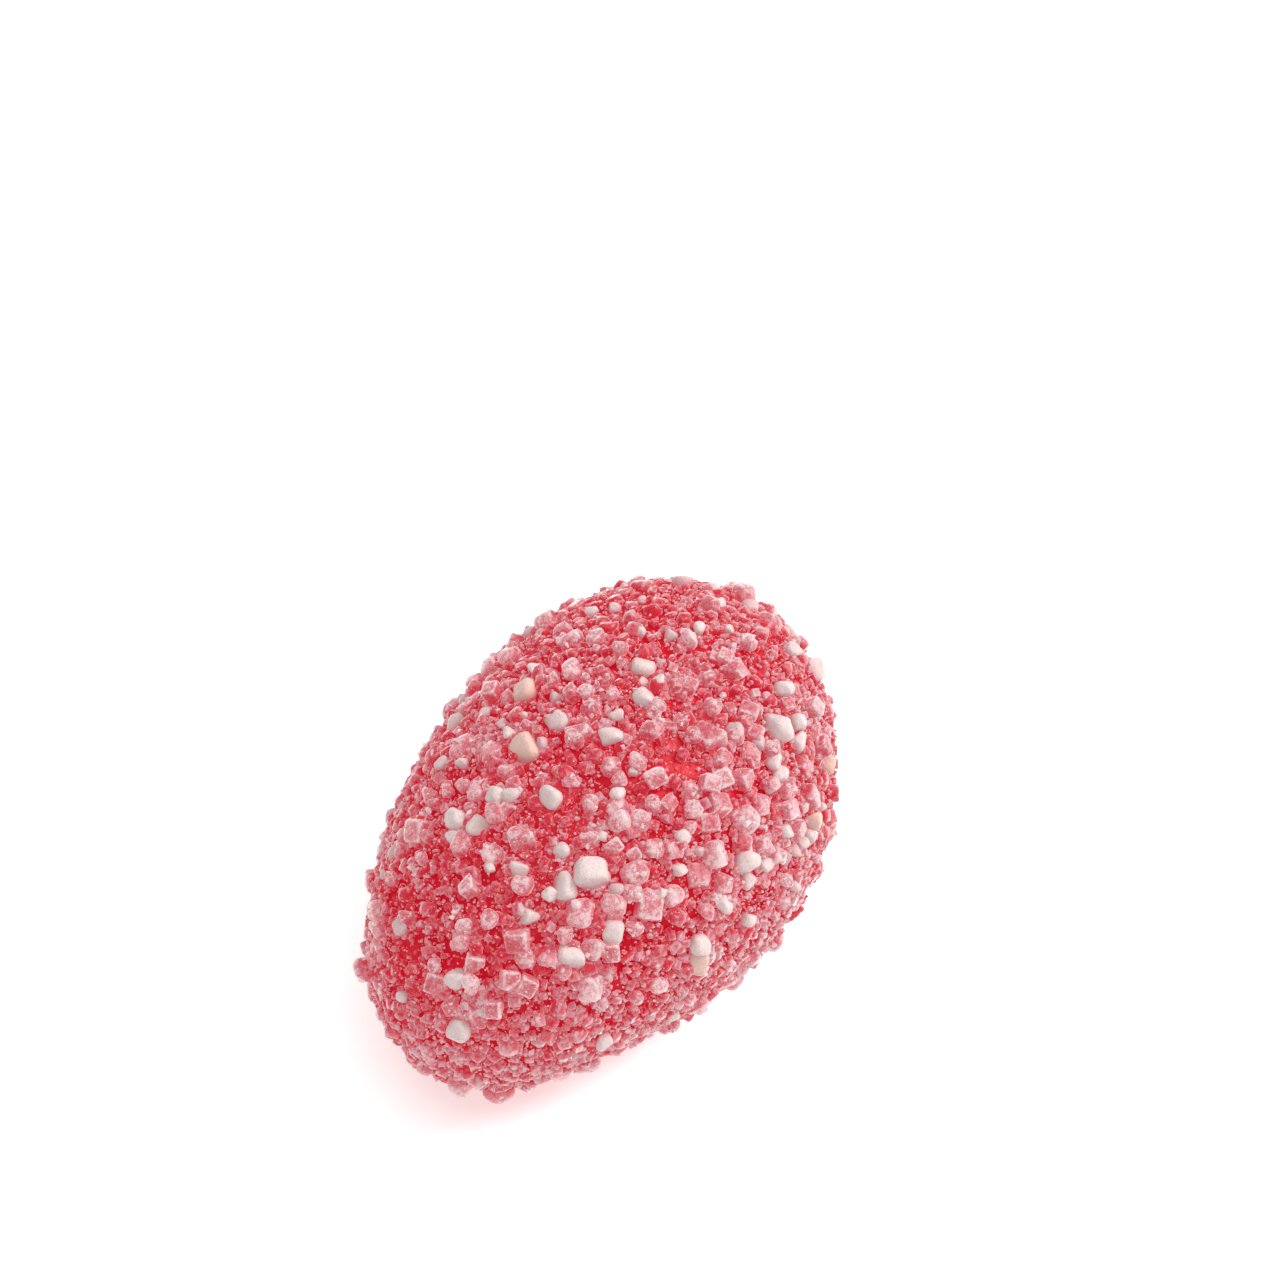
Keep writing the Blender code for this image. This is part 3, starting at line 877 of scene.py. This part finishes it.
def jelly_material():
    """Deep red jelly, glossy and lit from within, with sugar dust stuck to it."""
    material, tree, shader = plain_material("red jelly", {"IOR": 1.45, "Specular IOR Level": 0.15})
    depth = cloud(tree, 0.0016, 2.0)
    grain = cloud(tree, 0.00022, 4.0, 0.65)
    red = colour_mix(tree, stretched(tree, depth, 0.3, 0.7), JELLY_DEEP, JELLY_BRIGHT)
    dusty = stretched(tree, grain, 0.56, 0.74, 0.0, 0.40)
    skin = colour_mix(tree, dusty, red, JELLY_DUSTY)
    light_inside(tree, shader, skin, JELLY_LIGHT, INNER_GLOW)
    link(tree, stretched(tree, grain, 0.35, 0.65, 0.18, 0.5), shader.inputs["Roughness"])
    bumped(tree, shader, grain, 0.6, 0.00006)
    return material


def crumb_material(name):
    """Opaque grainy crumbs, some of them pinkish or peach, with painted red bounce light from the jelly at
    their feet.
    """
    material, tree, shader = plain_material(name, {"IOR": 1.5, "Specular IOR Level": 0.3})
    height, tint = kept_value(tree, "height"), kept_value(tree, "tint")
    fleck = cloud(tree, 0.00018, 3.0, 0.6)
    blotch = cloud(tree, 0.0006, 2.0)
    pit = cloud(tree, 0.00012, 3.0, 0.65)
    body = CRUMB_PINK
    for source, colour, *span in (
        (tint, CRUMB_WHITE, 0.40, 0.75),
        (tint, CRUMB_PEACH, 0.94, 0.97),
        (blotch, CRUMB_BLUSH, 0.45, 0.72, 0.0, 0.45),
        (pit, CRUMB_PIT, 0.52, 0.70, 0.0, 0.55),
        (fleck, CRUMB_FLECK, 0.50, 0.75, 0.0, 0.30),
        # painted light: red bounced up from the jelly, strongest at each crumb's foot
        (height, CRUMB_RED_BOUNCE, -0.0001, 0.0005, 0.75, 0.0),
    ):
        body = colour_mix(tree, stretched(tree, source, *span), body, colour)
    light_inside(tree, shader, body, CRUMB_LIGHT, BLACK)
    link(tree, stretched(tree, fleck, 0.3, 0.7, 0.35, 0.6), shader.inputs["Roughness"])
    bumped(tree, shader, cloud(tree, 0.00012, 4.0, 0.7), 0.9, 0.00009)
    return material


def jelly_body(material):
    """The jelly itself, pitted and lumpy under its sugar."""
    skin = smooth_skin(BODY_CUTS, BODY_INSET)
    (coarse_width, coarse_height), (fine_width, fine_height) = BODY_LUMPS
    moves = []
    for vert in skin.verts:
        fade = min(1.0, max(0.0, vert.co.z / BARE_HEIGHT - 0.2))
        coarse = noise.noise(vert.co / coarse_width)
        fine = noise.noise(vert.co / fine_width + Vector((7.0, 3.0, 5.0)))
        moves.append(vert.normal * (coarse_height * coarse + fine_height * fine) * fade)
    for vert, move in zip(skin.verts, moves):
        vert.co += move
        vert.co.z = max(vert.co.z, BASE_GAP)
    data = bpy.data.meshes.new("jelly_body")
    skin.to_mesh(data)
    skin.free()
    data.shade_smooth()
    data.materials.append(material)
    return in_scene("jelly_body", data)


def seen_patches(patches):
    """The patches' places on the egg, with their radii."""
    skin = core_tree()
    found = [(seen_place(skin, across, down)[0], radius * 0.001) for across, down, radius in patches]
    return [(np.array(place), radius) for place, radius in found if place is not None]


def nearness(place, patches):
    """How near each place is to the middle of any patch, from 0 to 1."""
    most = np.zeros(len(place))
    for middle, radius in patches:
        most = np.maximum(most, np.exp(-((place - middle) ** 2).sum(axis=1) / radius ** 2))
    return most


class Cover:
    """How thickly sugar covers each place: bare patches show the jelly, and pale ones are thick; along the
    rim they also carry painted rim light.
    """

    def __init__(self, grains):
        self.bare = seen_patches(BARE_PATCHES)
        self.pale = seen_patches(PALE_SUGAR_AND_RIM_LIGHT_PATCHES)
        self.grains = np.array([tuple(place) for _, place, _, _ in grains])
        self.reach = np.array([GRAIN_CLEARING * width for _, _, _, width in grains])

    def thickness(self, place):
        """How thick the coat is, round about zero."""
        value = np.array([
            sum(weight * noise.noise(Vector(point) / width) for width, weight in THICK_CLOUDS)
            for point in place
        ])
        value += PALE_WEIGHT * nearness(place, self.pale) - BARE_WEIGHT * nearness(place, self.bare)
        # painted light: the lower flank is made whiter as well as thicker, for the bright floor's light on
        # it
        value += FOOT_SUGAR_AND_FLOOR_LIGHT_WEIGHT * np.clip(1.0 - place[:, 2] / FOOT_SUGAR_AND_FLOOR_LIGHT_HEIGHT, 0.0, 1.0)
        return value

    def chance(self, place):
        """The chance that a crystal sticks at each place."""
        return np.clip(1.0 + THICK_CHANCE * self.thickness(place), LEAST_CHANCE, 1.0)

    def free(self, place):
        """Whether each place is clear of the larger grains' own footprints."""
        away = np.linalg.norm(place[:, None] - self.grains[None], axis=2)
        return (away > self.reach).all(axis=1)

    def tint(self, place, rng):
        """How white a crystal is at each place."""
        middle = TINT_MIDDLE + TINT_SLOPE * self.thickness(place)
        return np.clip(middle + rng.uniform(-TINT_SPREAD, TINT_SPREAD, len(place)), 0.0, TINT_MOST)


def sprinkle(skin, rng, cover, templates, count, width, rise, lean, gap_share, bare_share):
    """Crystals of one kind over the whole skin, no two closer than a share of their width."""
    place, normal = skin.places(int(count * SPARE_PLACES), rng)
    chance = 1.0 - bare_share * (1.0 - cover.chance(place))
    keep = (chance > rng.random(len(place))) & cover.free(place)
    place, normal = apart(place[keep], normal[keep], gap_share * 0.5 * sum(width), count)
    number = len(place)
    wide = rng.uniform(*width, number)
    size = wide[:, None] * rng.uniform(*CRYSTAL_STRETCH, (number, 3))
    middle = place + normal * (rng.uniform(*rise, number) * wide)[:, None]
    turn = standing(normal, rng.uniform(0, 2 * math.pi, number), np.abs(rng.normal(0, lean, number)),
                    rng.uniform(0, 2 * math.pi, number))
    heap = Heap()
    heap.spread(templates, rng, turn, size, middle, normal, place, cover.tint(place, rng))
    return heap


def grain_tint(number, rng):
    """How white a large grain is: the picture's own are pale or peach, the others anything from pink."""
    if number >= len(KNOWN):
        return rng.uniform(*LOOSE_TINT)
    return PEACH_TINT if KNOWN[number][1:3] in PEACH_GRAINS else rng.uniform(*KNOWN_TINT)


def large_grains(grains, numbers, templates, rng):
    """Some of the solid's own large grains, with their true faces."""
    heap = Heap()
    for number in numbers:
        _, place, normal, width = grains[number]
        stretch, stance = grain_stance(number, grains[number])
        heap.add(
            templates[rng.integers(len(templates))], np.array(stance.to_3x3())[None],
            np.array(stretch)[None] * width, np.array(stance.translation)[None],
            np.array(normal)[None], np.array(place)[None], np.array((grain_tint(number, rng),))
        )
    return heap


def stick_chips(heap, middles, templates, rng):
    """Small crystals grown onto some grains, each grain given as middle, foot, normal and width."""
    number = STUCK_CHIPS
    for middle, foot, out, width in middles:
        way = unit(rng.normal(0.0, 1.0, (number, 3)) + out * 0.9)
        spot = middle + way * width * rng.uniform(0.38, 0.50, (number, 1))
        size = width * rng.uniform(0.20, 0.42, (number, 1)) * rng.uniform(0.75, 1.2, (number, 3))
        turn = tossed(way, 0.6, rng)
        heap.spread(templates, rng, turn, size, spot, np.tile(out, (number, 1)),
                    np.tile(foot, (number, 1)), rng.uniform(0.2, 0.9, number))


def grain_middles(grains, numbers, small, kind):
    """The middle, foot, normal and width of some large grains and of the small ones of a kind."""
    found = []
    for number in numbers:
        _, place, normal, width = grains[number]
        _, stance = grain_stance(number, grains[number])
        found.append((np.array(stance.translation), np.array(place), np.array(normal), width))
    for name, place, normal, width, _ in small:
        if name == kind:
            foot, out = np.array(place), np.array(normal)
            found.append((foot + out * SMALL_RISE * width, foot, out, width))
    return found


def small_grains():
    """Every smaller grain that the picture shows: kind, place, normal, width, and whether it is peach."""
    skin = core_tree()
    found = []
    for kind, across, down, width in listed(SMALL_GRAINS):
        place, normal = seen_place(skin, across, down)
        if place is not None:
            found.append((kind, place, normal, width, (across, down) in PEACH_GRAINS))
    return found


def add_small_grains(heap, kind, small, templates, rng):
    """The smaller grains of one kind, standing up out of the fine sugar."""
    for name, place, normal, width, peach in small:
        if name == kind:
            place, normal = np.array(place)[None], np.array(normal)[None]
            turn = tossed(normal, 0.4, rng)
            size = width * rng.uniform(0.88, 1.12, (1, 3))
            tint = np.array((PEACH_TINT if peach else rng.uniform(*SMALL_TINT),))
            template = templates[rng.integers(len(templates))]
            heap.add(template, turn, size, place + normal * SMALL_RISE * width, normal, place, tint)


def add_loose(heap, skin, rng, templates):
    """More small crumbs, anywhere on the egg but low down."""
    place, normal = skin.places(LOOSE_CRUMBS * 3, rng, WHITE_HEIGHT)
    place, normal = apart(place, normal, LOOSE_CRUMB_GAP, LOOSE_CRUMBS)
    number = len(place)
    wide = rng.uniform(*LOOSE_CRUMB_WIDTH, number)
    size = wide[:, None] * rng.uniform(0.82, 1.15, (number, 3))
    turn = tossed(normal, 0.6, rng)
    middle = place + normal * (rng.uniform(0.1, 0.4, number) * wide)[:, None]
    heap.spread(templates, rng, turn, size, middle, normal, place, rng.uniform(0.2, 0.94, number))


def clusters(skin, rng, templates):
    """Little heaps of crystals that have grown together."""
    heap = Heap()
    place, normal = skin.places(CLUSTER_COUNT * 3, rng, BARE_HEIGHT)
    number = CLUSTER_CRYSTALS
    for here, out in zip(*apart(place, normal, CLUSTER_GAP, CLUSTER_COUNT)):
        sides = rng.normal(0, 1, (number, 3))
        sides -= out * (sides @ out)[:, None]
        lift = rng.uniform(0.0, CLUSTER_LIFT, number)
        middle = here + sides * CLUSTER_SPREAD + out * lift[:, None]
        size = rng.uniform(*CLUSTER_WIDTH, number)[:, None] * rng.uniform(0.7, 1.25, (number, 3))
        turn = standing(unit(out + sides * 0.5), rng.uniform(0, SPIN, number),
                        np.abs(rng.normal(0, 0.6, number)), rng.uniform(0, SPIN, number))
        tint = np.clip(rng.uniform(0.3, 1.0) + rng.normal(0, 0.15, number), 0, 1)
        heap.spread(templates, rng, turn, size, middle, np.tile(out, (number, 1)),
                    np.tile(here, (number, 1)), tint)
    return heap


def dust(skin, heaps, rng, templates):
    """Specks on the jelly, and on the outer faces of the sugar."""
    place, normal = skin.places(DUST_COUNT // 3, rng)
    for heap in heaps:
        verts, faces = heap.arrays()
        corners = verts[faces]
        cross = crosses(corners)
        area = np.linalg.norm(cross, axis=1)
        facing = cross / np.maximum(area, 1e-15)[:, None]
        outward = unit(corners.mean(axis=1) - np.array((0.0, 0.0, HALF_HEIGHT)))
        area = area * ((facing * outward).sum(axis=1) > DUST_FACING)
        number = int(DUST_COUNT * 2 / 3 / len(heaps))
        chosen = np.searchsorted(np.cumsum(area) / area.sum(), rng.random(number))
        share = rng.dirichlet((1.0, 1.0, 1.0), number)
        place = np.concatenate((place, (corners[chosen] * share[:, :, None]).sum(axis=1)))
        normal = np.concatenate((normal, facing[chosen]))
    number = len(place)
    wide = DUST_WIDTH[0] + (DUST_WIDTH[1] - DUST_WIDTH[0]) * rng.random(number) ** 2
    turn = tossed(normal, 1.0, rng)
    size = np.repeat(wide[:, None], 3, axis=1)
    heap = Heap()
    heap.spread(templates, rng, turn, size, place, normal, place, rng.random(number))
    return heap


def camera():
    """The camera, which looks down on the egg."""
    right, up, back = view_axes()
    data = bpy.data.cameras.new("camera")
    data.lens = VIEW_LENS
    data.sensor_width = VIEW_SENSOR
    data.clip_start = 0.01
    data.clip_end = 10.0
    made = in_scene("camera", data)
    turn = Matrix((right, up, back)).transposed().to_4x4()
    made.matrix_world = Matrix.Translation(view_aim() + back * VIEW_DISTANCE) @ turn
    bpy.context.scene.camera = made


def area_light(name, place, size, power, colour):
    """A soft box that faces the egg."""
    data = bpy.data.lights.new(name, "AREA")
    data.shape = "DISK"
    data.size = size
    data.energy = power
    data.color = colour
    made = in_scene(name, data)
    made.location = place
    made.rotation_mode = "QUATERNION"
    made.rotation_quaternion = (Vector(place) - Vector(SOFT_BOX_AIM)).to_track_quat("Z", "Y")


def studio():
    """A white ground, a white room and soft boxes."""
    world = bpy.data.worlds.new("white room")
    world.use_nodes = True
    background = world.node_tree.nodes["Background"]
    background.inputs["Color"].default_value = ROOM_COLOUR
    background.inputs["Strength"].default_value = ROOM_LIGHT
    bpy.context.scene.world = world
    ground = bmesh.new()
    bmesh.ops.create_grid(ground, x_segments=1, y_segments=1, size=GROUND_SIZE)
    data = bpy.data.meshes.new("floor")
    ground.to_mesh(data)
    ground.free()
    data.materials.append(plain_material("white ground", GROUND)[0])
    floor = in_scene("floor", data)
    for name, values in SOFT_BOXES.items():
        area_light(name, *values)
    bpy.context.scene.view_settings.view_transform = "Standard"
    bpy.context.scene.view_settings.look = "None"


def grain_heaps(skin, grains, small, shapes, draw, rng):
    """The large and smaller grains of each kind, and the crystals that have grown onto frosted ones."""
    cubes = [number for number, grain in enumerate(grains) if grain[0] == "cube"]
    lumps = [number for number, grain in enumerate(grains) if grain[0] == "lump"]
    white = [
        number for number in lumps
        if number < len(KNOWN) or grains[number][1].z > WHITE_HEIGHT and draw.random() < WHITE_SHARE
    ]
    frosted = [number for number in range(len(grains)) if number not in white + cubes]
    heaps = {}
    for name, numbers, kind, templates in (
        ("sugar_cubes", cubes, "clear", shapes["sugar_cubes"]),
        ("frosted_lumps", frosted, "frosted", shapes["crumbs"]),
        ("white_crumbs", white, "crumb", shapes["crumbs"]),
    ):
        heaps[name] = large_grains(grains, numbers, templates, rng)
        add_small_grains(heaps[name], kind, small, templates, rng)
    add_loose(heaps["white_crumbs"], skin, rng, shapes["crumbs"])
    heaps["crystal_clusters"] = clusters(skin, rng, shapes["chip_sugar"])
    middles = grain_middles(grains, frosted, small, "frosted")
    stick_chips(heaps["crystal_clusters"], middles, shapes["chip_sugar"], rng)
    return heaps


def crystal_shapes(draw):
    """The shapes that each kind is copied from."""
    shapes = {"chip_sugar": [chip(draw, CHIP_CORNERS) for _ in range(CHIP_SHAPES)]}
    for name in ("fine_sugar", "sharp_sugar"):
        shapes[name] = worn_cubes(draw, *CUBE_SHAPES[name])
    shapes["sugar_grit"] = [speck(draw) for _ in range(SPECK_SHAPES)]
    for name in ("medium_sugar", "sugar_cubes"):
        shapes[name] = worn_cubes(draw, *CUBE_SHAPES[name])
    shapes["crumbs"] = [crumb(draw, CRUMB_ROUNDS) for _ in range(CRUMB_SHAPES)]
    return shapes


def dress():
    """Every piece of the egg."""
    draw = random.Random(SEED)
    rng = np.random.default_rng(SEED)
    frost_group = sugar_frost_group()
    inner_light_group()
    body = jelly_body(jelly_material())
    skin = Skin(SKIN_CUTS, BODY_INSET)
    grains = spread_grains()
    small = small_grains()
    cover = Cover([*grains, *(grain[:4] for grain in small)])
    shapes = crystal_shapes(draw)
    heaps = {
        name: sprinkle(skin, rng, cover, shapes[name], *values) for name, values in SPRINKLED.items()
    }
    heaps.update(grain_heaps(skin, grains, small, shapes, draw, rng))
    dusty = [heaps[name] for name in ("fine_sugar", "sharp_sugar", "medium_sugar", "sugar_cubes")]
    heaps["sugar_dust"] = dust(skin, dusty, rng, shapes["sugar_grit"])
    made = {}
    for name, (frost, reach, glow, pale, smooth) in SUGAR_LOOKS.items():
        material = sugar_material(name.replace("_", " "), frost_group, frost, reach, glow, pale)
        made[name] = heaps[name].make(name, material, smooth)
    made["white_crumbs"] = heaps["white_crumbs"].make("white_crumbs", crumb_material("white crumbs"), True)
    for name, piece in made.items():
        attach(piece, "root")
    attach(body, "root")
    for piece in (body, made["sugar_cubes"], made["frosted_lumps"], made["white_crumbs"]):
        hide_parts("jelly_egg")


camera()
studio()
dress()
